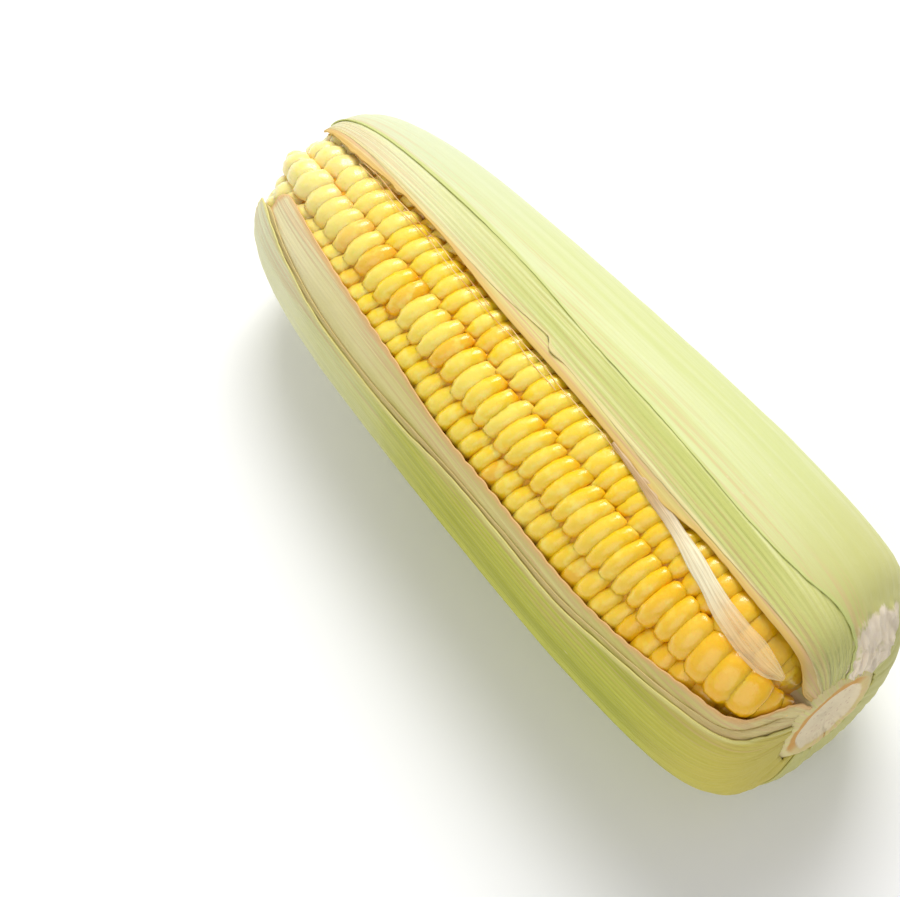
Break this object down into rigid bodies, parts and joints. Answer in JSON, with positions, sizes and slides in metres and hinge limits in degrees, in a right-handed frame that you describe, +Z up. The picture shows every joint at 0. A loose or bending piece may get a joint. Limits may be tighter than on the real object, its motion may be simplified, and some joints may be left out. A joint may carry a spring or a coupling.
{
  "type": "corn cob",
  "caption": "Ear of sweet corn lying on its side, trimmed at both ends, its husk leaves opened along one face to show rows of yellow kernels.",
  "frame": {"origin": "middle of the ear's footprint, on the surface it lies on", "axes": "+X along the ear towards the cut stem, +Z up, the opened side of the husk faces up and towards -Y"},
  "size_m": [0.1486, 0.0592, 0.0583],
  "materials": {
    "ear": "waxy",
    "stem": "dry cut",
    "husk_right_outer": "satin",
    "husk_right_ribbed": "satin",
    "husk_right_inner": "satin",
    "husk_left_outer": "satin",
    "husk_left_middle": "satin",
    "husk_left_inner": "satin",
    "husk_shred": "satin",
    "silk": "dry"
  },
  "bodies": {
    "root": {"ear": "ear", "stem": "stem", "husk_right_outer": "husk_right_outer", "husk_right_ribbed": "husk_right_ribbed", "husk_right_inner": "husk_right_inner", "husk_left_outer": "husk_left_outer", "husk_left_middle": "husk_left_middle", "husk_left_inner": "husk_left_inner", "husk_shred": "husk_shred", "silk_thread_1": "silk", "silk_thread_2": "silk", "silk_thread_3": "silk"}
  },
  "joints": []
}
